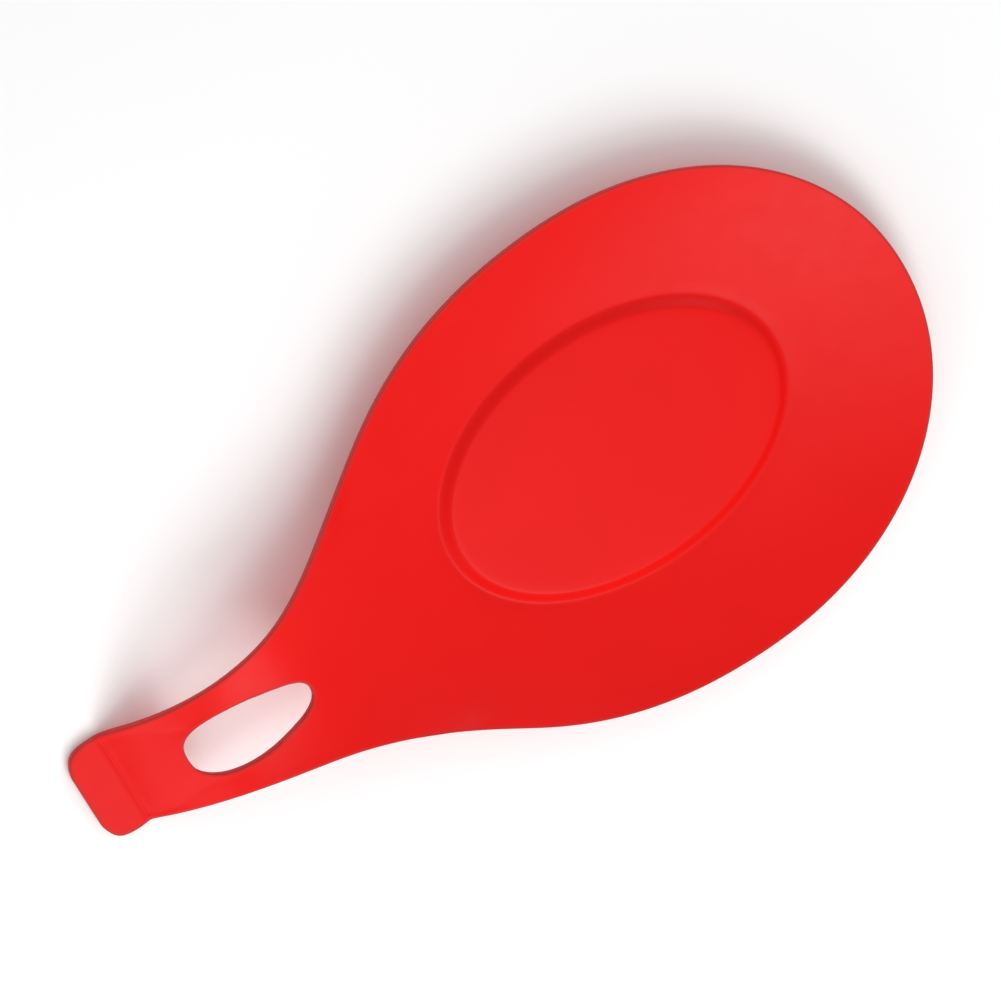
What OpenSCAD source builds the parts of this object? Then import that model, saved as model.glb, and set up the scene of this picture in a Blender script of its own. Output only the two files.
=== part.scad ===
// Spoon rest: a teardrop dish with a raised oval centre, an arched handle with a hanging hole and a flat end lip.
// It is one silicone moulding, drawn as its natural regions, which meet face to face.
// X runs along the rest, with the lip end at -X and the bowl end at +X. Z is up from the table.

/* [Overall] */
// Widest width of the bowl
bowl_w = 104; // [96:1:112]
// Thickness of the silicone
wall_t = 2.2; // [2:0.1:3]

/* [Bowl] */
// Distance from the bowl end back to the widest place
widest_back = 62; // [60:0.5:66]
// Distance from the widest place back to the steepest part of the flank
flank_l = 54; // [52:0.5:58]
// Width of the bowl at the steepest part of the flank
flank_w = 71.2; // [66:0.2:76]
// Top of the rim above the table, beside the middle of the oval
rim_h = 11.8; // [10:0.1:14]
// How much the rim sinks from the middle of the oval to the bowl end
rim_fall = 2; // [1:0.1:3]

/* [Oval] */
// Length of the raised oval at the foot of its step
oval_l = 80; // [74:1:86]
// Width of the raised oval at the foot of its step
oval_w = 54.6; // [50:0.2:58]
// Distance from the bowl end back to the middle of the oval
oval_back = 69.6; // [67:0.2:72]
// Height of the step round the oval
step_h = 1.9; // [1.2:0.1:2.4]
// Width of the step's rounded shoulder
shoulder_w = 4; // [3:0.1:5]
// Width of the gutter's rising side, outside the step
gutter_w = 2.4; // [1.6:0.1:2.8]
// Width of the flat ring under the gutter that the dish stands on
base_w = 3; // [2.9:0.1:3.8]

/* [Handle and neck] */
// Length from the top of the arch to the steepest part of the bowl's flank
neck_l = 38; // [34:0.5:44]
// Length of the leg, from the crease to the top of the arch
leg_l = 34.8; // [32:0.2:38]
// Width of the handle at the crease
handle_w = 21.6; // [19:0.2:24]
// Width of the handle at the top of its arch
arch_w = 29.2; // [26:0.2:32]
// Height of the arch above the table
arch_h = 21; // [18:0.2:24]
// Angle of the leg where it leaves the crease
leg_angle = 49.5; // [42:0.5:54]
// Depth of the trough along the top of the arch
trough_d = 2; // [1:0.1:3]

/* [End lip] */
// Length of the flat lip, from its end to the crease
lip_l = 9.2; // [8:0.2:11]
// Radius of the lip's corners
lip_r = 4.4; // [3:0.1:6]

/* [Hanging hole] */
// Length of strap between the crease and the hole
hole_gap = 11.7; // [10:0.1:14]
// Length of the hole, seen from above
hole_l = 27.8; // [24:0.2:30]
// Widest width of the hole
hole_w = 12; // [10:0.2:14]
// Length of strap between the hole and the neck
hole_margin = 5; // [4:0.5:7]

/* [Hidden] */

silicone = [0.9, 0.14, 0.13];

// Places along X, measured from the middle of the whole length
overall_l = lip_l + leg_l + neck_l + flank_l + widest_back;
lip_end = -overall_l / 2;
crease = lip_end + lip_l;
arch = crease + leg_l;
flank = arch + neck_l;
widest = flank + flank_l;
bowl_end = widest + widest_back;
oval_mid = bowl_end - oval_back;
oval_near = oval_mid - oval_l / 2;
hole_mid = crease + hole_gap + hole_l / 2;
strap_end = hole_mid + hole_l / 2 + hole_margin;
// The neck meets the bowl this share of the way from the arch to the flank
neck_share = 0.68;
bowl_start = arch + neck_l * neck_share;

// Slopes of the plan outline at the crease, the arch and the flank
crease_slope = 0.03;
arch_slope = 0.24;
flank_slope = 0.72;
// Fullness of the bowl's round end, where 2 is an ellipse
bowl_fullness = 2.05;

// Heights and how the walls curve
gutter_z = wall_t;
gutter_slope = 0.3;
gutter_edge_z = gutter_z + gutter_w * gutter_slope;
platform_z = gutter_z + step_h;
rim_slope = rim_fall / oval_back;
// Share of the bowl wall's rise that comes as a curve, the rest being straight
bow_share = 0.35;
// How sharply the trough's sides turn up, where 2 is a parabola
trough_power = 2.2;
// The trough begins this share of the way from the crease to the arch
trough_share = 0.35;

// The hole's ends are blunter than an ellipse's, and its lip end is wider by this share
hole_power = 0.73;
hole_egg_share = 0.25;

// Steps along each stretch of an outline, and rows across each region
QUARTER = 18;
FLANK = 12;
ACROSS = 12;
ROUND = 2 * QUARTER + 2 * FLANK + ACROSS;
SHOULDER_ROWS = 4;
WALL_ROWS = 7;
NECK_ROWS = 5;
STRAP_SIDE = 18;
STRAP_ROWS = 5;
CORNER = 8;

function mix(a, b, u) = a + (b - a) * u;
function ease(u) = let (v = max(0, min(1, u))) v * v * (3 - 2 * v);

// Cubic from (x0, y0) to (x1, y1) that leaves with slope m0 and arrives with slope m1, and its own slope
function flow(x, x0, y0, m0, x1, y1, m1) =
    let (l = x1 - x0, u = (x - x0) / l)
    mix(y0, y1, u * u * (3 - 2 * u)) + m0 * l * u * (1 - u) ^ 2 - m1 * l * u * u * (1 - u);
function flow_slope(x, x0, y0, m0, x1, y1, m1) =
    let (l = x1 - x0, u = (x - x0) / l)
    6 * u * (1 - u) * (y1 - y0) / l + m0 * (1 - u) * (1 - 3 * u) - m1 * u * (2 - 3 * u);

// Half width of the plan outline, from the crease to the widest place
function half_width(x) =
    x < arch ? flow(x, crease, handle_w / 2, crease_slope, arch, arch_w / 2, arch_slope)
    : x < flank ? flow(x, arch, arch_w / 2, arch_slope, flank, flank_w / 2, flank_slope)
    : flow(x, flank, flank_w / 2, flank_slope, widest, bowl_w / 2, 0);

// Height of the upper surface along the outline, and along the middle of the handle and neck
function rim_z(x) = rim_h - rim_slope * (x - oval_mid);
function edge_z(x) =
    x < arch ? flow(x, crease, wall_t, tan(leg_angle), arch, arch_h, 0)
    : x < flank ? flow(x, arch, arch_h, 0, flank, rim_z(flank), -rim_slope)
    : rim_z(x);
function middle_z(x) =
    let (trough_x = mix(crease, arch, trough_share))
    x < arch ? edge_z(x) - trough_d * ease((x - trough_x) / (arch - trough_x))
    : mix(arch_h - trough_d, gutter_z, ease((x - arch) / (oval_near - arch)));
function strap_z(x, y) = mix(middle_z(x), edge_z(x), abs(y / half_width(x)) ^ trough_power);

// Upright thickness, so that the sloping leg keeps the wall's thickness across it
function upright_t(x) =
    x < arch ? wall_t * norm([1, flow_slope(x, crease, wall_t, tan(leg_angle), arch, arch_h, 0)]) : wall_t;

// The same points dropped to the under side, and never below the table
function under(p) = [p.x, p.y, max(0, p.z - upright_t(p.x))];
function under_rows(rows) = [for (row = rows) [for (p = row) under(p)]];

// Oval loop, grown outwards by g, at height z
function oval_loop(g, z) =
    [for (i = [0:ROUND - 1]) let (a = 360 * i / ROUND)
        [oval_mid + (oval_l / 2 + g) * cos(a), (oval_w / 2 + g) * sin(a), z]];

// Bowl's edge from the bowl end round to the neck, across the neck and back
function quarter_point(a) =
    let (f = 2 / bowl_fullness)
    [widest + widest_back * cos(a) ^ f, bowl_w / 2 * sin(a) ^ f];
function flank_point(u) = let (x = mix(widest, bowl_start, u)) [x, half_width(x)];
bowl_side = [
    for (i = [0:QUARTER - 1]) quarter_point(90 * i / QUARTER),
    for (i = [0:FLANK - 1]) flank_point(i / FLANK)
];
bowl_edge = [
    for (p = bowl_side) [p.x, p.y, rim_or_edge_z(p.x)],
    for (i = [0:ACROSS]) let (y = mix(1, -1, i / ACROSS) * half_width(bowl_start))
        [bowl_start, y, strap_z(bowl_start, y)],
    for (i = [len(bowl_side) - 1:-1:1]) let (p = bowl_side[i]) [p.x, -p.y, rim_or_edge_z(p.x)]
];
function rim_or_edge_z(x) = x < widest ? edge_z(x) : rim_z(x);

// Closed solid between two stacks of loops, an upper and an under one, each from the inner loop outwards
module band(top, bottom) {
    n = len(top[0]);
    rows = len(top);
    low = n * rows;
    points = concat([for (row = top) each row], [for (row = bottom) each row]);
    faces = [
        for (j = [0:rows - 2], i = [0:n - 1])
            let (a = j * n + i, d = j * n + (i + 1) % n, b = a + n, c = d + n)
            each [[a, d, c], [a, c, b], [a + low, b + low, c + low], [a + low, c + low, d + low]],
        for (i = [0:n - 1])
            let (a = i, d = (i + 1) % n, b = low - n + a, c = low - n + d)
            each [[a, a + low, d + low], [a, d + low, d], [b, c, c + low], [b, c + low, b + low]]
    ];
    polyhedron(points, faces);
}

// Closed solid between two grids of rows, an upper and an under one, with rows along +X and points along +Y
module sheet(top, bottom) {
    n = len(top[0]);
    rows = len(top);
    low = n * rows;
    points = concat([for (row = top) each row], [for (row = bottom) each row]);
    faces = [
        for (j = [0:rows - 2], i = [0:n - 2])
            let (a = j * n + i, d = a + 1, b = a + n, c = b + 1)
            each [[a, d, c], [a, c, b], [a + low, b + low, c + low], [a + low, c + low, d + low]],
        for (i = [0:n - 2])
            let (a = i, d = i + 1, b = low - n + a, c = b + 1)
            each [[a, a + low, d + low], [a, d + low, d], [b, c, c + low], [b, c + low, b + low]],
        for (j = [0:rows - 2])
            let (a = j * n, b = a + n, d = a + n - 1, c = d + n)
            each [[a, b, b + low], [a, b + low, a + low], [d, d + low, c + low], [d, c + low, c]]
    ];
    polyhedron(points, faces);
}

function flat_loop(loop) = [for (p = loop) [p.x, p.y]];

module centre_platform()
    color(silicone)
        translate([0, 0, platform_z - wall_t])
            linear_extrude(wall_t)
                polygon(flat_loop(oval_loop(-shoulder_w, 0)));

// Step's shoulder rises as a curve that is steepest at the gutter, and stops where the flat base ring begins
base_in = base_w - gutter_w;
function shoulder_z(inset) = platform_z - step_h * (1 - inset / shoulder_w) ^ 2;

module step_shoulder() {
    insets = [for (k = [0:SHOULDER_ROWS]) mix(shoulder_w, base_in, k / SHOULDER_ROWS)];
    top = [for (inset = insets) oval_loop(-inset, shoulder_z(inset))];
    bottom = [for (inset = insets) oval_loop(-inset, shoulder_z(inset) - wall_t)];
    color(silicone) band(top, bottom);
}

// Sharp gutter round the step, with the flat ring under it that the dish stands on
module drip_groove() {
    top = [oval_loop(-base_in, shoulder_z(base_in)), oval_loop(0, gutter_z), oval_loop(gutter_w, gutter_edge_z)];
    bottom = [for (g = [-base_in, 0, gutter_w]) oval_loop(g, 0)];
    color(silicone) band(top, bottom);
}

module bowl_wall() {
    inner = oval_loop(gutter_w, gutter_edge_z);
    function wall_point(i, s) =
        let (a = inner[i], b = bowl_edge[i])
        [mix(a.x, b.x, s), mix(a.y, b.y, s), mix(a.z, b.z, s * mix(1 - bow_share, 1, s))];
    top = [for (j = [0:WALL_ROWS]) [for (i = [0:ROUND - 1]) wall_point(i, j / WALL_ROWS)]];
    color(silicone) band(top, under_rows(top));
}

function strap_point(x, share) = let (y = half_width(x) * share) [x, y, strap_z(x, y)];

module neck() {
    top = [for (j = [0:NECK_ROWS]) [for (i = [0:ACROSS])
        strap_point(mix(strap_end, bowl_start, j / NECK_ROWS), mix(-1, 1, i / ACROSS))]];
    color(silicone) sheet(top, under_rows(top));
}

// Strap as a band from the hanging hole out to the strap's own edge
module handle() {
    half = ACROSS / 2;
    edge = [
        for (i = [0:half - 1]) [strap_end, half_width(strap_end) * i / half],
        for (i = [0:STRAP_SIDE - 1]) let (x = mix(strap_end, crease, i / STRAP_SIDE)) [x, half_width(x)],
        for (i = [0:ACROSS - 1]) [crease, half_width(crease) * mix(1, -1, i / ACROSS)],
        for (i = [0:STRAP_SIDE - 1]) let (x = mix(crease, strap_end, i / STRAP_SIDE)) [x, -half_width(x)],
        for (i = [0:half - 1]) [strap_end, half_width(strap_end) * (i / half - 1)]
    ];
    function bearing(p) =
        atan2(p.y / (handle_w / 2), (p.x - hole_mid) / (p.x > hole_mid ? strap_end - hole_mid : hole_mid - crease));
    function hole_point(a) = [
        hole_mid + hole_l / 2 * cos(a),
        hole_w / 2 * sign(sin(a)) * abs(sin(a)) ^ hole_power * (1 - hole_egg_share * cos(a))
    ];
    top = [for (j = [0:STRAP_ROWS]) [for (p = edge)
        let (q = mix(hole_point(bearing(p)), p, j / STRAP_ROWS))
        [q.x, q.y, strap_z(q.x, q.y)]]];
    color(silicone) band(top, under_rows(top));
}

module end_lip() {
    corner_x = lip_end + lip_r;
    corner_y = handle_w / 2 - lip_r;
    function corner(a) = [corner_x + lip_r * cos(a), corner_y + lip_r * sin(a)];
    side = [for (i = [0:CORNER]) corner(mix(90, 180, i / CORNER))];
    color(silicone)
        linear_extrude(wall_t)
            polygon([
                [crease, handle_w / 2],
                each side,
                for (i = [CORNER:-1:0]) [side[i].x, -side[i].y],
                [crease, -handle_w / 2]
            ]);
}

centre_platform();
step_shoulder();
drip_groove();
bowl_wall();
neck();
handle();
end_lip();
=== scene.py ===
"""Silicone spoon rest, laid out as an add-on: one red moulding over its solid regions, on a pale table.

Lengths are in metres. X runs from the handle's lip to the far end of the bowl, and Z is up from the table.
"""

import math

import bmesh
import bpy
from mathutils import Matrix, Vector


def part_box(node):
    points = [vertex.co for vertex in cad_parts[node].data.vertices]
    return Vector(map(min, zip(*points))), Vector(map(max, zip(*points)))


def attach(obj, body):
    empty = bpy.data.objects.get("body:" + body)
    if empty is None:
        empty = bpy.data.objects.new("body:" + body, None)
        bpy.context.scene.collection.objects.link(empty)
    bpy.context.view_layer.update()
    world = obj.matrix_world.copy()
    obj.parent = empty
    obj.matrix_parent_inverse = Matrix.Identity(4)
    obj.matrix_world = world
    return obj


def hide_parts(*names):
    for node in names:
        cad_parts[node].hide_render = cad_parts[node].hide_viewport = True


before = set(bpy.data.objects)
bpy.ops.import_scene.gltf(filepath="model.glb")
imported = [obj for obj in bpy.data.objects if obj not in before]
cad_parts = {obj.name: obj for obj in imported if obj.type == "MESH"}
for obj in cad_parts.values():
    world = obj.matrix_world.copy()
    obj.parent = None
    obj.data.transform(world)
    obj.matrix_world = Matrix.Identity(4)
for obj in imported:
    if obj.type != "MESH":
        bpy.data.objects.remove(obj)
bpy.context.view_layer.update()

bl_info = {
    "name": "Silicone Spoon Rest",
    "version": (1, 0, 0),
    "blender": (4, 5, 0),
    "location": "View3D > Sidebar > Spoon Rest",
    "description": "Moulds a teardrop spoon rest in red silicone and sets it on a pale table",
    "category": "Add Mesh",
}

IMAGE_SIDE = 1001
REGIONS = ("centre_platform", "step_shoulder", "drip_groove", "bowl_wall", "neck", "handle", "end_lip")

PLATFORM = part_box("centre_platform")
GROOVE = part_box("drip_groove")
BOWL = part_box("bowl_wall")
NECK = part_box("neck")
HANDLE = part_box("handle")
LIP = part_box("end_lip")

# Steps along each stretch of the outline, rows across each region, and finishing of the mesh
QUARTER_STEPS = 18
FLANK_STEPS = 12
ACROSS_STEPS = 12
STRAP_STEPS = 18
ROUND_STEPS = 2 * QUARTER_STEPS + 2 * FLANK_STEPS + ACROSS_STEPS
PLATFORM_ROWS = 4
SHOULDER_ROWS = 4
WALL_ROWS = 8
NECK_ROWS = 5
STRAP_ROWS = 3
BEND_ROWS = 3
SMOOTHING_PASSES = 6
RIM_SEGMENTS = 3
SKIN_LEVELS = 2
CREASE_SHARPNESS = 0.3
MERGE_DISTANCE = 1e-5

# Turns round the lip's corners, in degrees, at which its rows lie. The last two rows lie further apart than
# the rounding of the rims reaches.
CORNER_TURNS = (25.0, 50.0, 90.0)

# Width of the camera's sensor in millimetres, as Blender takes it
SENSOR_WIDTH = 36.0


def length(name, description, default):
    """A size in metres that the sidebar shows."""
    return bpy.props.FloatProperty(
        name=name, description=description, default=default, min=0.0, precision=5, subtype="DISTANCE",
        unit="LENGTH",
    )


def share(name, description, default):
    """A plain number that the sidebar shows."""
    return bpy.props.FloatProperty(name=name, description=description, default=default, min=0.0, precision=3)


def angle(name, description, degrees):
    """An angle that the sidebar shows."""
    return bpy.props.FloatProperty(
        name=name, description=description, default=math.radians(degrees), subtype="ANGLE", unit="ROTATION"
    )


def power(name, description, watts):
    """A light's power that the sidebar shows."""
    return bpy.props.FloatProperty(name=name, description=description, default=watts, min=0.0, unit="POWER")


def colour(name, description, default):
    """A linear colour that the sidebar shows."""
    return bpy.props.FloatVectorProperty(
        name=name, description=description, default=default, size=3, min=0.0, max=1.0, subtype="COLOR"
    )


class SpoonRestSizes(bpy.types.PropertyGroup):
    """Sizes of the moulding. What a solid region already settles is read from its box."""

    wall: length("Wall", "Thickness of the silicone", LIP[1].z)
    rim_round: length("Rim rounding", "Radius of the rounded rims, outside and round the hole", 0.0005)
    rim_margin: length("Rim margin", "Width of the margin that runs along the rims", 0.0009)
    rim_tuck: length("Rim tuck", "How far the rim's lower edge lies inside its upper edge", 0.00015)

    bowl_width: length("Bowl width", "Widest width of the bowl", BOWL[1].y - BOWL[0].y)
    widest_back: length("Widest place", "Distance from the bowl's end back to its widest place", 0.062)
    flank_length: length("Flank length", "Distance from the widest place to the flank's steepest part", 0.054)
    flank_width: length("Flank width", "Width of the bowl at the steepest part of the flank", 0.0712)
    flank_slope: share("Flank slope", "Slope of the outline at the steepest part of the flank", 0.72)
    bowl_fullness: share("Bowl fullness", "Fullness of the bowl's round end, where 2 is an ellipse", 2.05)
    rim_height: length("Rim height", "Top of the rim beside the middle of the oval", 0.0118)
    rim_fall: length("Rim fall", "How much the rim sinks from the oval's middle to the bowl's end", 0.002)
    bow_share: share("Wall bow", "Share of the bowl wall's rise that comes as a curve", 0.35)

    shoulder_width: length("Shoulder width", "Width of the shoulder region round the platform", 0.004)
    step_inset: length("Step inset", "How far inside the gutter's low line the step's slope begins", 0.0027)
    step_reach: length("Step reach", "How far past the gutter's low line the step's slope ends", 0.0005)
    base_inset: length("Base inset", "How far the flat ring on the table reaches in under the step", 0.0006)

    arch_width: length("Arch width", "Width of the handle at the top of its arch", 0.0292)
    arch_slope: share("Arch slope", "Slope of the outline at the top of the arch", 0.24)
    leg_length: length("Leg length", "Length of the leg, from the crease to the top of the arch", 0.0348)
    leg_angle: angle("Leg angle", "Angle of the leg where it leaves the crease", 49.5)
    crease_slope: share("Crease slope", "Slope of the outline at the crease", 0.03)
    groove_depth: length("Crease groove depth", "How far the crease lies below the flat lip", 0.00025)
    groove_width: length("Crease groove width", "Width of the groove's side towards the lip", 0.0008)
    trough_depth: length("Trough depth", "Depth of the trough along the top of the arch", 0.002)
    trough_share: share("Trough start", "Share of the leg below which the strap is flat across", 0.35)
    trough_power: share("Trough sides", "How sharply the trough's sides turn up, where 2 is a parabola", 2.2)

    hole_gap: length("Hole gap", "Length of strap between the crease and the hole", 0.0117)
    hole_length: length("Hole length", "Length of the hanging hole, seen from above", 0.0278)
    hole_width: length("Hole width", "Width of the hanging hole half way along", 0.012)
    hole_power: share("Hole bluntness", "Bluntness of the hole's ends, where 1 is an ellipse", 0.73)
    hole_egg: share("Hole egg", "How much wider the hole is towards the lip", 0.25)
    lip_radius: length("Lip radius", "Radius of the end lip's corners", 0.0044)


class SpoonRestFinish(bpy.types.PropertyGroup):
    """Colours and gloss of the silicone and the table."""

    silicone: colour("Silicone", "Red of the moulding", (0.77, 0.0056, 0.0042))
    deep: colour("Deep red", "Red of the slightly darker clouds in the moulding", (0.73, 0.0052, 0.0039))
    # Painted shade: this darker red is laid over the rims' rounding and side in place of the shade that falls
    # there, darkest at the bottom of the side.
    rim: colour("Rim red", "Red along the cut rims, where the moulding was trimmed", (0.53, 0.024, 0.024))
    roughness: share("Roughness", "Roughness of the satin surface", 0.41)
    gloss: share("Gloss", "Strength of the reflections", 0.14)
    cloud_scale: share("Cloud scale", "Clouds of deep red to a metre", 38.0)
    cloud_strength: share("Cloud strength", "How far the clouds turn the red deep", 0.5)
    mottle_scale: share("Mottle scale", "Small mottles to a metre", 260.0)
    mottle_strength: share("Mottle strength", "How far the mottles turn the red deep", 0.3)
    roughness_spread: share("Roughness spread", "How much the roughness varies with the mottles", 0.12)
    rim_roughness: share("Rim roughness", "How much rougher the cut rims are", 0.1)
    grain_scale: share("Grain scale", "Grains of the moulded surface to a metre", 3800.0)
    grain_height: length("Grain height", "Height of the moulded grain", 0.00004)
    grain_strength: share("Grain strength", "Strength of the grain in the reflections", 0.12)
    table: colour("Table", "Colour of the table", (0.96, 0.96, 0.96))


class SpoonRestStage(bpy.types.PropertyGroup):
    """Camera and lights."""

    camera_azimuth: angle("Camera azimuth", "Direction of the camera, turned from +X to +Y", 110.879)
    camera_elevation: angle("Camera elevation", "Height of the camera above the horizon", 66.857)
    camera_roll: angle("Camera roll", "Turn of the camera about its own axis", 126.729)
    camera_distance: length("Camera distance", "Distance from the camera to the point it looks at", 1.3)
    aim: bpy.props.FloatVectorProperty(
        name="Aim", description="Point in the middle of the picture", default=(0.00288, 0.00758, 0.01005),
        size=3, precision=5, subtype="TRANSLATION", unit="LENGTH",
    )
    pixels_per_metre: share("Picture scale", "Pixels to a metre at the aim", 4991.0)
    key_azimuth: angle("Key azimuth", "Direction of the key light, turned from +X to +Y", 257.0)
    key_elevation: angle("Key elevation", "Height of the key light above the horizon", 47.0)
    key_power: power("Key power", "Power of the key light", 1.7)
    top_azimuth: angle("Top azimuth", "Direction of the high light, turned from +X to +Y", 231.0)
    top_elevation: angle("Top elevation", "Height of the high light above the horizon", 68.0)
    top_power: power("Top power", "Power of the high light", 0.95)
    low_azimuth: angle("Low azimuth", "Direction of the low light at the handle, turned from +X to +Y", 210.0)
    low_power: power("Low power", "Power of the low light at the handle", 0.8)
    back_azimuth: angle("Back azimuth", "Direction of the low light at the bowl, turned from +X to +Y", 30.0)
    back_power: power("Back power", "Power of the low light at the bowl", 3.5)
    low_elevation: angle("Low elevation", "Height of the two low lights above the horizon", 15.0)
    near: length("Near distance", "Distance of the other three lights", 0.7)
    far: length("Far distance", "Distance of the low light at the bowl", 1.4)
    sky: share("Sky", "Brightness of the soft light from all round", 0.63)


def mix(a, b, u):
    return a + (b - a) * u


def ease(u):
    v = min(1.0, max(0.0, u))
    return v * v * (3.0 - 2.0 * v)


def flow(x, start, end):
    """Cubic between two (place, value, slope) ends that leaves and arrives with their slopes."""
    (x0, y0, slope0), (x1, y1, slope1) = start, end
    reach = x1 - x0
    u = (x - x0) / reach
    rise = mix(y0, y1, u * u * (3.0 - 2.0 * u))
    return rise + slope0 * reach * u * (1.0 - u) ** 2 - slope1 * reach * u * u * (1.0 - u)


class Form:
    """The upper surface of the moulding: its outline in plan, and its height at a place."""

    def __init__(self, sizes):
        self.s = sizes
        self.lip_end, self.crease = LIP[0].x, LIP[1].x
        self.lip_width = LIP[1].y - LIP[0].y
        self.arch = self.crease + sizes.leg_length
        self.bowl_start, self.bowl_end = BOWL[0].x, BOWL[1].x
        self.widest = self.bowl_end - sizes.widest_back
        self.flank = self.widest - sizes.flank_length
        self.strap_end = NECK[0].x
        self.hole_mid = self.crease + sizes.hole_gap + sizes.hole_length / 2
        self.oval_mid = (PLATFORM[0].x + PLATFORM[1].x) / 2
        self.oval_length = PLATFORM[1].x - PLATFORM[0].x + 2 * sizes.shoulder_width
        self.oval_width = PLATFORM[1].y - PLATFORM[0].y + 2 * sizes.shoulder_width
        self.gutter_width = (GROOVE[1].x - GROOVE[0].x - self.oval_length) / 2
        self.oval_near = self.oval_mid - self.oval_length / 2
        self.platform_z = PLATFORM[1].z
        self.gutter_z = sizes.wall
        self.gutter_edge_z = GROOVE[1].z
        self.arch_height = HANDLE[1].z
        self.rim_slope = sizes.rim_fall / (self.bowl_end - self.oval_mid)

    def half_width(self, x):
        s = self.s
        at_crease = (self.crease, self.lip_width / 2, s.crease_slope)
        at_arch = (self.arch, s.arch_width / 2, s.arch_slope)
        at_flank = (self.flank, s.flank_width / 2, s.flank_slope)
        at_widest = (self.widest, s.bowl_width / 2, 0.0)
        if x < self.arch:
            return flow(x, at_crease, at_arch)
        if x < self.flank:
            return flow(x, at_arch, at_flank)
        return flow(x, at_flank, at_widest)

    def rim_z(self, x):
        return self.s.rim_height - self.rim_slope * (x - self.oval_mid)

    def edge_z(self, x):
        """Height along the outline."""
        at_crease = (self.crease, self.s.wall, math.tan(self.s.leg_angle))
        at_arch = (self.arch, self.arch_height, 0.0)
        at_flank = (self.flank, self.rim_z(self.flank), -self.rim_slope)
        if x < self.arch:
            return flow(x, at_crease, at_arch)
        if x < self.flank:
            return flow(x, at_arch, at_flank)
        return self.rim_z(x)

    def middle_z(self, x):
        """Height along the middle of the handle and the neck."""
        s = self.s
        if x < self.arch:
            trough_start = mix(self.crease, self.arch, s.trough_share)
            return self.edge_z(x) - s.trough_depth * ease((x - trough_start) / (self.arch - trough_start))
        fall = ease((x - self.arch) / (self.oval_near - self.arch))
        return mix(self.arch_height - s.trough_depth, self.gutter_z, fall)

    def strap_point(self, x, y):
        rise = abs(y / self.half_width(x)) ** self.s.trough_power
        return Vector((x, y, mix(self.middle_z(x), self.edge_z(x), rise)))

    def oval_point(self, grow, z, station):
        """Point of the oval loop that is grown outwards by grow."""
        turn = 2.0 * math.pi * station / ROUND_STEPS
        x = self.oval_mid + (self.oval_length / 2 + grow) * math.cos(turn)
        return Vector((x, (self.oval_width / 2 + grow) * math.sin(turn), z))

    def shoulder_point(self, inset, station):
        """Point of the step, which ends a little way up the gutter's rising side."""
        s = self.s
        foot_z = mix(self.gutter_z, self.gutter_edge_z, s.step_reach / self.gutter_width)
        drop = ease((s.step_inset - inset) / (s.step_inset + s.step_reach))
        return self.oval_point(-inset, mix(self.platform_z, foot_z, drop), station)

    def bowl_edge_point(self, station):
        """The bowl's edge: round its end, along a flank, across the neck and back along the other flank."""
        mirrored = ROUND_STEPS - station if station > ROUND_STEPS / 2 else station
        side = math.copysign(1.0, ROUND_STEPS / 2 - station)
        if mirrored < QUARTER_STEPS:
            turn = math.pi / 2 * mirrored / QUARTER_STEPS
            power = 2.0 / self.s.bowl_fullness
            x = self.widest + self.s.widest_back * math.cos(turn) ** power
            return Vector((x, side * self.s.bowl_width / 2 * math.sin(turn) ** power, self.rim_z(x)))
        flank_step = mirrored - QUARTER_STEPS
        if flank_step < FLANK_STEPS:
            x = mix(self.widest, self.bowl_start, flank_step / FLANK_STEPS)
            return Vector((x, side * self.half_width(x), self.edge_z(x)))
        return self.across_point(self.bowl_start, station - QUARTER_STEPS - FLANK_STEPS)

    def across_point(self, x, step):
        """Point of a row straight across the strap, from its +Y side to its -Y side."""
        return self.strap_point(x, self.half_width(x) * mix(1.0, -1.0, step / ACROSS_STEPS))

    def wall_point(self, rise, station):
        """Point of the bowl's wall, from the gutter's edge at 0 to the bowl's edge at 1."""
        low = self.oval_point(self.gutter_width, self.gutter_edge_z, station)
        high = self.bowl_edge_point(station)
        point = low.lerp(high, rise)
        point.z = mix(low.z, high.z, rise * mix(1.0 - self.s.bow_share, 1.0, rise))
        return point

    def strap_edge_point(self, station):
        """The strap's edge round the hole: across at the neck, down one side, across the crease and back."""
        half = ACROSS_STEPS // 2
        if station < half:
            return self.across_point(self.strap_end, half - station)
        down = station - half
        if down < STRAP_STEPS:
            x = mix(self.strap_end, self.crease, down / STRAP_STEPS)
            return self.strap_point(x, self.half_width(x))
        across = down - STRAP_STEPS
        if across < ACROSS_STEPS:
            return self.across_point(self.crease, across)
        back = across - ACROSS_STEPS
        if back < STRAP_STEPS:
            x = mix(self.crease, self.strap_end, back / STRAP_STEPS)
            return self.strap_point(x, -self.half_width(x))
        return self.across_point(self.strap_end, ACROSS_STEPS - (back - STRAP_STEPS))

    def hole_point(self, towards):
        """Point of the hanging hole's edge that faces a point of the strap's edge."""
        s = self.s
        reach = self.strap_end - self.hole_mid if towards.x > self.hole_mid else self.hole_mid - self.crease
        turn = math.atan2(towards.y / (self.lip_width / 2), (towards.x - self.hole_mid) / reach)
        blunt = math.copysign(abs(math.sin(turn)) ** s.hole_power, math.sin(turn))
        width = s.hole_width / 2 * blunt * (1.0 - s.hole_egg * math.cos(turn))
        return self.strap_point(self.hole_mid + s.hole_length / 2 * math.cos(turn), width)

    def ring_point(self, rise, station):
        """Point of the strap between the hole's edge at 0 and the strap's edge at 1."""
        outer = self.strap_edge_point(station)
        inner = self.hole_point(outer)
        return self.strap_point(mix(inner.x, outer.x, rise), mix(inner.y, outer.y, rise))

    def lip_point(self, x, step):
        """Point of the flat end lip, in a row straight across it."""
        radius = self.s.lip_radius
        past = max(0.0, self.lip_end + radius - x)
        half = self.lip_width / 2 - radius + math.sqrt(max(0.0, radius * radius - past * past))
        return Vector((x, half * mix(1.0, -1.0, step / ACROSS_STEPS), self.s.wall))


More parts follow.
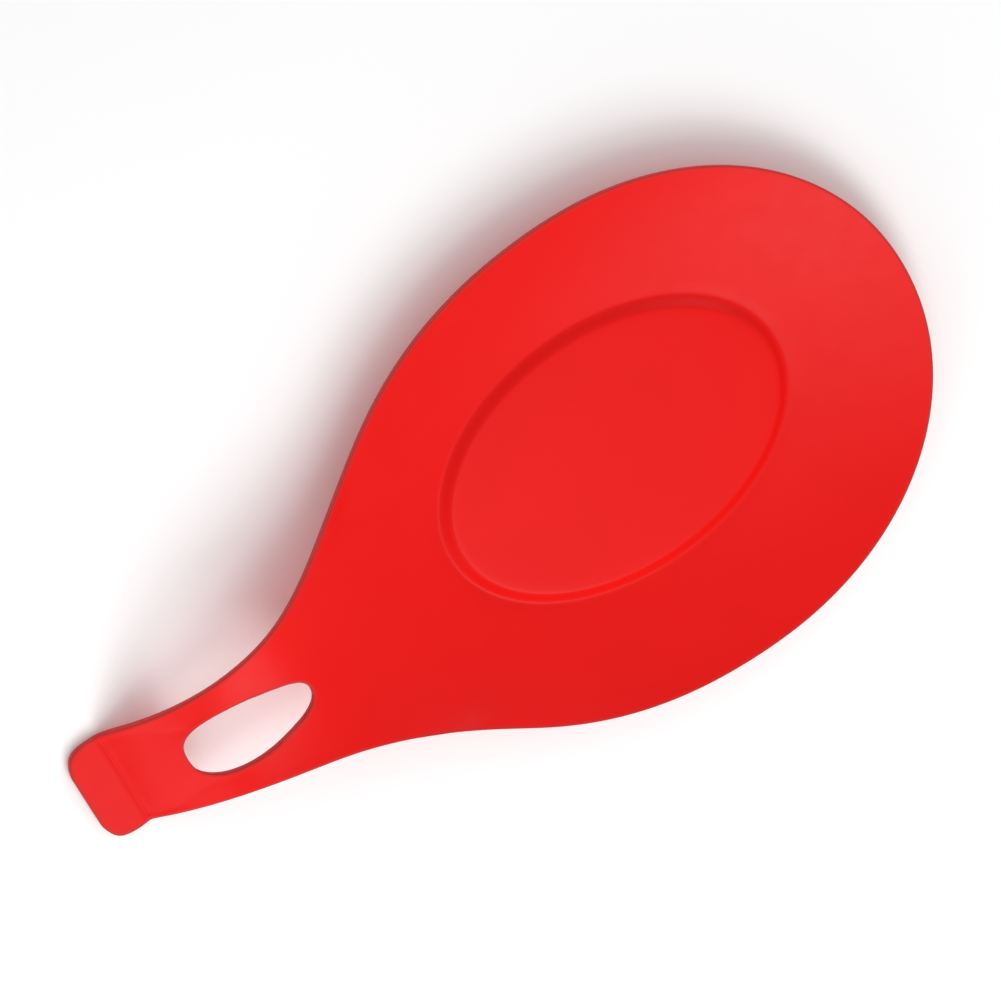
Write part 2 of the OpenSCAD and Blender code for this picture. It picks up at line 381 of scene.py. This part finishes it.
class Moulder:
    """Grows one sheet of silicone row by row in a bmesh, and gives it its wall."""

    # Share of painted rim shade where a rim's rounding leaves the top face; it rises to full one rounding
    # radius further down.
    rim_shade_start = 0.7

    def __init__(self):
        self.bm = bmesh.new()
        self.station = self.bm.verts.layers.int.new("station")
        self.base = self.bm.verts.layers.int.new("base")
        self.drop = self.bm.verts.layers.float.new("drop")
        self.crease = self.bm.edges.layers.float.new("crease_edge")
        self.rim = self.bm.verts.layers.float.new("rim")
        self.rim_top = self.bm.verts.layers.float.new("rim_top")
        self.inward = self.bm.verts.layers.float_vector.new("inward")

    def ring(self, count, place):
        """A closed loop of edges with a vertex at place(station) for each station."""
        made = bmesh.ops.create_circle(self.bm, segments=count, radius=1.0)["verts"]
        for station, vert in enumerate(made):
            vert[self.station] = station
            vert.co = place(station)
        return self.edges_among(made)

    def edges_among(self, verts):
        kept = set(verts)
        found = dict.fromkeys(edge for vert in verts for edge in vert.link_edges)
        return [edge for edge in found if kept.issuperset(edge.verts)]

    def grow(self, edges, place):
        """Extrudes a row of edges, puts each new vertex at place(station) and returns the new row."""
        made = bmesh.ops.extrude_edge_only(self.bm, edges=edges)["geom"]
        verts = [item for item in made if isinstance(item, bmesh.types.BMVert)]
        for vert in verts:
            vert.co = place(vert[self.station])
            vert[self.base] = 0
        row = self.edges_among(verts)
        self.sharpen(row, 0.0)
        return row

    def stretch_of(self, edges, first, last):
        """The edges of a row whose stations lie from first to last."""
        return [e for e in edges if all(first <= v[self.station] <= last for v in e.verts)]

    def sharpen(self, edges, crease):
        for edge in edges:
            edge[self.crease] = crease

    def stand(self, edges):
        """Marks a row as part of the flat ring that stands on the table."""
        for edge in edges:
            for vert in edge.verts:
                vert[self.base] = 1

    def verts_of(self, edges):
        return list(dict.fromkeys(vert for edge in edges for vert in edge.verts))

    def trim(self, start, margin):
        """Runs a narrow margin along the edges of the sheet past start, which keeps the rims crisp."""
        faces = [face for face in self.bm.faces if face.calc_center_median().x > start]
        bmesh.ops.inset_region(
            self.bm, faces=faces, thickness=margin, use_boundary=True, use_even_offset=True,
            use_interpolate=True,
        )

    def face_inward(self):
        """Notes at each vertex on the sheet's edge which way the sheet lies from it, seen from above."""
        for edge in (edge for edge in self.bm.edges if edge.is_boundary):
            first, second = edge.verts
            along = second.co - first.co
            across = Vector((-along.y, along.x, 0.0)).normalized()
            towards = edge.link_faces[0].calc_center_median() - first.co
            for vert in edge.verts:
                vert[self.inward] = vert[self.inward] + across * math.copysign(1.0, across.dot(towards))

    def thicken(self, wall, tuck):
        """Extrudes the sheet, drops the copy by more where it is steep, and tucks its edge inwards.

        The copy never goes below the table. Returns the faces of the wall's side.
        """
        bm = self.bm
        bm.normal_update()
        self.face_inward()
        for vert in bm.verts:
            vert[self.drop] = wall / vert.normal.z
            vert[self.rim_top] = vert.co.z
        top = set(bm.faces)
        made = bmesh.ops.extrude_face_region(bm, geom=list(bm.faces))["geom"]
        under = {item for item in made if isinstance(item, bmesh.types.BMFace)}
        for vert in (item for item in made if isinstance(item, bmesh.types.BMVert)):
            vert.co.z = 0.0 if vert[self.base] else max(0.0, vert.co.z - vert[self.drop])
            vert.co += vert[self.inward].normalized() * tuck
        for edge in (item for item in made if isinstance(item, bmesh.types.BMEdge)):
            edge[self.crease] = 0.0
        return [face for face in bm.faces if face not in top and face not in under]

    def round_rims(self, side_faces, radius):
        """Rounds the edges between the wall's side and its faces, and marks the rim below the top face with
        painted shade that grows darker further down.
        """
        side = set(side_faces)
        rims = [e for face in side_faces for e in face.edges if sum(f in side for f in e.link_faces) == 1]
        made = bmesh.ops.bevel(
            self.bm, geom=rims, offset=radius, offset_type="OFFSET", segments=RIM_SEGMENTS, profile=0.5,
            affect="EDGES", material=-1,
        )
        # Painted shade: the rim mark rises from its starting share at the top face to full one radius down,
        # so the rim is darker towards its bottom.
        for face in list(made["faces"]) + [f for f in side_faces if f.is_valid]:
            for vert in face.verts:
                depth = min(1.0, max(0.0, (vert[self.rim_top] - vert.co.z) / radius))
                vert[self.rim] = mix(self.rim_shade_start, 1.0, math.sqrt(depth))


def dish_sheet(mould, form):
    """The raised oval, its shoulder, the gutter and the bowl's wall. Returns the bowl's edge."""
    sizes = form.s
    first = 1.0 / PLATFORM_ROWS

    def platform_point(part, station):
        centre = Vector((form.oval_mid, 0.0, form.platform_z))
        return centre.lerp(form.shoulder_point(sizes.step_inset, station), part)

    row = mould.ring(ROUND_STEPS, lambda k: platform_point(first, k))
    disc = bmesh.ops.edgeloop_fill(mould.bm, edges=row)["faces"]
    bmesh.ops.poke(mould.bm, faces=disc)
    for i in range(2, PLATFORM_ROWS + 1):
        row = mould.grow(row, lambda k, part=i / PLATFORM_ROWS: platform_point(part, k))
    for i in range(1, SHOULDER_ROWS + 1):
        inset = mix(sizes.step_inset, sizes.base_inset, i / SHOULDER_ROWS)
        row = mould.grow(row, lambda k, inset=inset: form.shoulder_point(inset, k))
    mould.stand(row)
    for inset in (0.0, -sizes.step_reach):
        row = mould.grow(row, lambda k, inset=inset: form.shoulder_point(inset, k))
        mould.stand(row)
    for i in range(0, WALL_ROWS + 1):
        row = mould.grow(row, lambda k, rise=i / WALL_ROWS: form.wall_point(rise, k))
        if i == 0:
            mould.stand(row)
    return row


def neck_sheet(mould, form, bowl_edge):
    """The trough from the bowl's edge to the strap. Returns its last row."""
    first = QUARTER_STEPS + FLANK_STEPS
    row = mould.stretch_of(bowl_edge, first, first + ACROSS_STEPS)
    for i in range(1, NECK_ROWS + 1):
        x = mix(form.bowl_start, form.strap_end, i / NECK_ROWS)
        row = mould.grow(row, lambda k, x=x: form.across_point(x, k - first))
    return row


def strap_sheet(mould, form):
    """The strap round the hanging hole. Returns its outer loop."""
    count = 2 * ACROSS_STEPS + 2 * STRAP_STEPS
    row = mould.ring(count, lambda k: form.ring_point(0.0, k))
    for i in range(1, STRAP_ROWS + 1):
        row = mould.grow(row, lambda k, rise=i / STRAP_ROWS: form.ring_point(rise, k))
    return row


def lip_sheet(mould, form, strap_edge):
    """The flat lip, from the groove of the crease to its rounded end."""
    first = ACROSS_STEPS // 2 + STRAP_STEPS
    radius = form.s.lip_radius
    row = mould.stretch_of(strap_edge, first, first + ACROSS_STEPS)
    mould.sharpen(row, CREASE_SHARPNESS)
    for vert in mould.verts_of(row):
        vert.co.z -= form.s.groove_depth
    groove_end = form.crease - form.s.groove_width
    flat = [mix(groove_end, form.lip_end + radius, i / BEND_ROWS) for i in range(BEND_ROWS + 1)]
    rounded = [form.lip_end + radius * (1.0 - math.sin(math.radians(turn))) for turn in CORNER_TURNS]
    for x in flat + rounded:
        row = mould.grow(row, lambda k, x=x: form.lip_point(x, k - first))


def smooth_joint(mould, form):
    """Eases the skin where the trough of the neck runs out into the bowl."""
    verts = [v for v in mould.bm.verts if form.strap_end < v.co.x < form.oval_near and not v.is_boundary
             and v[mould.base] == 0 and v.co.z > form.gutter_edge_z]
    for _ in range(SMOOTHING_PASSES):
        bmesh.ops.smooth_vert(mould.bm, verts=verts, factor=0.5, use_axis_z=True)


class Wire:
    """A value in a material. Python's operators on it add Math nodes."""

    def __init__(self, paint, socket):
        self.paint = paint
        self.socket = socket

    def maths(self, operation, first, second):
        return self.paint.node("ShaderNodeMath", {"operation": operation}, {0: first, 1: second})

    def __add__(self, other):
        return self.maths("ADD", self, other)

    def __radd__(self, other):
        return self.maths("ADD", other, self)

    def __sub__(self, other):
        return self.maths("SUBTRACT", self, other)

    def __rsub__(self, other):
        return self.maths("SUBTRACT", other, self)

    def __mul__(self, other):
        return self.maths("MULTIPLY", self, other)

    def __rmul__(self, other):
        return self.maths("MULTIPLY", other, self)


class Paint:
    """Builds the nodes of one material."""

    def __init__(self, name):
        self.material = bpy.data.materials.new(name)
        self.material.use_nodes = True
        self.tree = self.material.node_tree
        self.tree.nodes.clear()

    def node(self, kind, settings=None, values=None, output=0):
        """Adds a node, with its settings first and then its sockets' values or links."""
        made = self.tree.nodes.new(kind)
        for name, value in (settings or {}).items():
            setattr(made, name, value)
        for name, value in (values or {}).items():
            if isinstance(value, Wire):
                self.tree.links.new(value.socket, made.inputs[name])
            else:
                made.inputs[name].default_value = value
        return Wire(self, made.outputs[output]) if made.outputs else None

    def blend(self, factor, first, second):
        """A colour between two others."""
        values = {"Factor": factor, 6: first, 7: second}
        return self.node("ShaderNodeMix", {"data_type": "RGBA"}, values, output=2)

    def noise(self, place, scale, detail, roughness=0.5):
        values = {"Vector": place, "Scale": scale, "Detail": detail, "Roughness": roughness}
        return self.node("ShaderNodeTexNoise", None, values)

    def ramp(self, value, low, high):
        """0 below low, 1 above high and a smooth rise between."""
        values = {"Value": value, "From Min": low, "From Max": high}
        return self.node("ShaderNodeMapRange", {"interpolation_type": "SMOOTHSTEP"}, values)

    def finish(self, values):
        """Ends the material in a Principled shader with these values."""
        shader = self.node("ShaderNodeBsdfPrincipled", None, values)
        self.node("ShaderNodeOutputMaterial", None, {"Surface": shader})
        return self.material


def opaque(rgb):
    return (*rgb, 1.0)


def silicone_material(finish):
    """Satin silicone: faint clouds in the red, a fine moulded grain and painted shade on the rims, darker
    down their side.
    """
    paint = Paint("satin_red_silicone")
    place = paint.node("ShaderNodeTexCoord", output=3)
    clouds = paint.ramp(paint.noise(place, finish.cloud_scale, detail=2.0), low=0.35, high=0.7)
    mottle = paint.noise(place, finish.mottle_scale, detail=3.0)
    grain = paint.noise(place, finish.grain_scale, detail=2.0, roughness=0.6)
    # Painted shade: the rim attribute turns the red towards the darker rim red over the rims' rounding and
    # side, and also makes them a little rougher.
    painted_shade_mark = paint.node("ShaderNodeAttribute", {"attribute_name": "rim"}, output=2)
    rim = paint.ramp(painted_shade_mark, low=0.0, high=1.0)
    depth = clouds * finish.cloud_strength + mottle * finish.mottle_strength
    red = paint.blend(depth, opaque(finish.silicone), opaque(finish.deep))
    red = paint.blend(rim, red, opaque(finish.rim))
    roughness = finish.roughness + (mottle - 0.5) * finish.roughness_spread + rim * finish.rim_roughness
    bump = paint.node("ShaderNodeBump", None, {
        "Strength": finish.grain_strength, "Distance": finish.grain_height, "Height": grain,
    })
    values = {"Base Color": red, "Roughness": roughness, "Normal": bump, "Specular IOR Level": finish.gloss}
    return paint.finish(values)


def table_material(finish):
    """Pale matt table with a barely visible tooth."""
    paint = Paint("pale_table")
    place = paint.node("ShaderNodeTexCoord", output=3)
    tooth = paint.noise(place, 60.0, detail=3.0)
    shaded = opaque([part * 0.97 for part in finish.table])
    shade = paint.blend(tooth * 0.1, opaque(finish.table), shaded)
    return paint.finish({"Base Color": shade, "Roughness": 0.9, "Specular IOR Level": 0.1})


def add_object(name, data):
    made = bpy.data.objects.new(name, data)
    bpy.context.scene.collection.objects.link(made)
    return made


class SPOONREST_OT_skin(bpy.types.Operator):
    """Mould the spoon rest as one continuous skin of silicone"""

    bl_idname = "spoonrest.skin"
    bl_label = "Mould Silicone Skin"
    bl_options = {"REGISTER", "UNDO"}

    def execute(self, context):
        form = Form(context.scene.spoon_rest_sizes)
        mould = Moulder()
        bm = mould.bm
        bowl_edge = dish_sheet(mould, form)
        neck_end = neck_sheet(mould, form, bowl_edge)
        strap_edge = strap_sheet(mould, form)
        lip_sheet(mould, form, strap_edge)
        seam = mould.verts_of(neck_end) + mould.verts_of(strap_edge)
        bmesh.ops.remove_doubles(bm, verts=seam, dist=MERGE_DISTANCE)
        smooth_joint(mould, form)

        bmesh.ops.recalc_face_normals(bm, faces=list(bm.faces))
        if sum(face.normal.z for face in bm.faces) < 0.0:
            bmesh.ops.reverse_faces(bm, faces=list(bm.faces))
        mould.trim(form.lip_end + form.s.lip_radius, form.s.rim_margin)
        side = mould.thicken(form.s.wall, form.s.rim_tuck)
        mould.round_rims(side, form.s.rim_round)
        bmesh.ops.recalc_face_normals(bm, faces=list(bm.faces))
        if any(not edge.is_manifold for edge in bm.edges):
            raise RuntimeError("the skin isn't closed")

        mesh = bpy.data.meshes.new("silicone_skin")
        bm.to_mesh(mesh)
        bm.free()
        for polygon in mesh.polygons:
            polygon.use_smooth = True
        mesh.materials.append(silicone_material(context.scene.spoon_rest_finish))
        skin = add_object("silicone_skin", mesh)
        rounding = skin.modifiers.new("rounding", "SUBSURF")
        rounding.levels = rounding.render_levels = SKIN_LEVELS
        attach(skin, "root")
        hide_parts(*REGIONS)
        return {"FINISHED"}


def direction(azimuth, elevation):
    """Unit vector towards a place in the sky."""
    flat = math.cos(elevation)
    return Vector((flat * math.cos(azimuth), flat * math.sin(azimuth), math.sin(elevation)))


class SPOONREST_OT_stage(bpy.types.Operator):
    """Set the table, the soft lights and the camera"""

    bl_idname = "spoonrest.stage"
    bl_label = "Set Table, Lights and Camera"
    bl_options = {"REGISTER", "UNDO"}

    table_side = 4.0
    table_drop = 0.0002
    softbox_share = 0.45

    def execute(self, context):
        scene = context.scene
        stage = scene.spoon_rest_stage
        self.lay_table(scene.spoon_rest_finish)
        self.light_sky(scene, stage)
        for name, azimuth, elevation, distance, watts in (
            ("key_softbox", stage.key_azimuth, stage.key_elevation, stage.near, stage.key_power),
            ("top_softbox", stage.top_azimuth, stage.top_elevation, stage.near, stage.top_power),
            ("low_softbox", stage.low_azimuth, stage.low_elevation, stage.near, stage.low_power),
            ("back_softbox", stage.back_azimuth, stage.low_elevation, stage.far, stage.back_power),
        ):
            self.hang_softbox(name, azimuth, elevation, distance, watts)
        self.place_camera(scene, stage)
        scene.view_settings.view_transform = "Standard"
        return {"FINISHED"}

    def lay_table(self, finish):
        bm = bmesh.new()
        bmesh.ops.create_grid(bm, x_segments=1, y_segments=1, size=self.table_side / 2)
        bmesh.ops.translate(bm, verts=bm.verts, vec=(0.0, 0.0, -self.table_drop))
        mesh = bpy.data.meshes.new("table")
        bm.to_mesh(mesh)
        bm.free()
        mesh.materials.append(table_material(finish))
        add_object("table", mesh)

    def light_sky(self, scene, stage):
        scene.world = bpy.data.worlds.new("soft_sky")
        scene.world.use_nodes = True
        sky = scene.world.node_tree.nodes["Background"].inputs
        sky["Color"].default_value = (1.0, 1.0, 1.0, 1.0)
        sky["Strength"].default_value = stage.sky

    def hang_softbox(self, name, azimuth, elevation, distance, watts):
        light = bpy.data.lights.new(name, "AREA")
        light.shape = "SQUARE"
        light.size = self.softbox_share * distance
        light.energy = watts
        towards = direction(azimuth, elevation)
        box = add_object(name, light)
        box.location = towards * distance
        box.rotation_mode = "QUATERNION"
        box.rotation_quaternion = towards.to_track_quat("Z", "Y")

    def place_camera(self, scene, stage):
        back = direction(stage.camera_azimuth, stage.camera_elevation)
        level = Vector((-math.sin(stage.camera_azimuth), math.cos(stage.camera_azimuth), 0.0))
        upright = back.cross(level)
        roll = stage.camera_roll
        right = level * math.cos(roll) + upright * math.sin(roll)
        up = back.cross(right)
        camera = add_object("camera", bpy.data.cameras.new("camera"))
        lens = camera.data
        lens.sensor_width = SENSOR_WIDTH
        lens.lens = SENSOR_WIDTH * stage.pixels_per_metre * stage.camera_distance / IMAGE_SIDE
        lens.clip_start, lens.clip_end = 0.01, 100.0
        turn = [[right[i], up[i], back[i]] for i in range(3)]
        camera.rotation_mode = "QUATERNION"
        camera.rotation_quaternion = Matrix(turn).to_quaternion()
        camera.location = Vector(stage.aim) + back * stage.camera_distance
        scene.camera = camera


class SPOONREST_PT_panel(bpy.types.Panel):
    """Lists the spoon rest's steps and sizes in the 3D view's sidebar"""

    bl_idname = "SPOONREST_PT_panel"
    bl_label = "Spoon Rest"
    bl_space_type = "VIEW_3D"
    bl_region_type = "UI"
    bl_category = "Spoon Rest"

    def draw(self, context):
        for operator in OPERATORS:
            self.layout.operator(operator.bl_idname)
        for group_name in GROUPS:
            group = getattr(context.scene, group_name)
            box = self.layout.box()
            for name in group.__annotations__:
                box.prop(group, name)


GROUPS = {
    "spoon_rest_sizes": SpoonRestSizes,
    "spoon_rest_finish": SpoonRestFinish,
    "spoon_rest_stage": SpoonRestStage,
}
OPERATORS = (SPOONREST_OT_skin, SPOONREST_OT_stage)


def register():
    for group in GROUPS.values():
        bpy.utils.register_class(group)
    for operator in OPERATORS:
        bpy.utils.register_class(operator)
    bpy.utils.register_class(SPOONREST_PT_panel)
    for name, group in GROUPS.items():
        setattr(bpy.types.Scene, name, bpy.props.PointerProperty(type=group))


def unregister():
    for name in GROUPS:
        delattr(bpy.types.Scene, name)
    bpy.utils.unregister_class(SPOONREST_PT_panel)
    for operator in reversed(OPERATORS):
        bpy.utils.unregister_class(operator)
    for group in reversed(GROUPS.values()):
        bpy.utils.unregister_class(group)


def main():
    register()
    bpy.ops.spoonrest.skin()
    bpy.ops.spoonrest.stage()


if __name__ == "__main__":
    main()
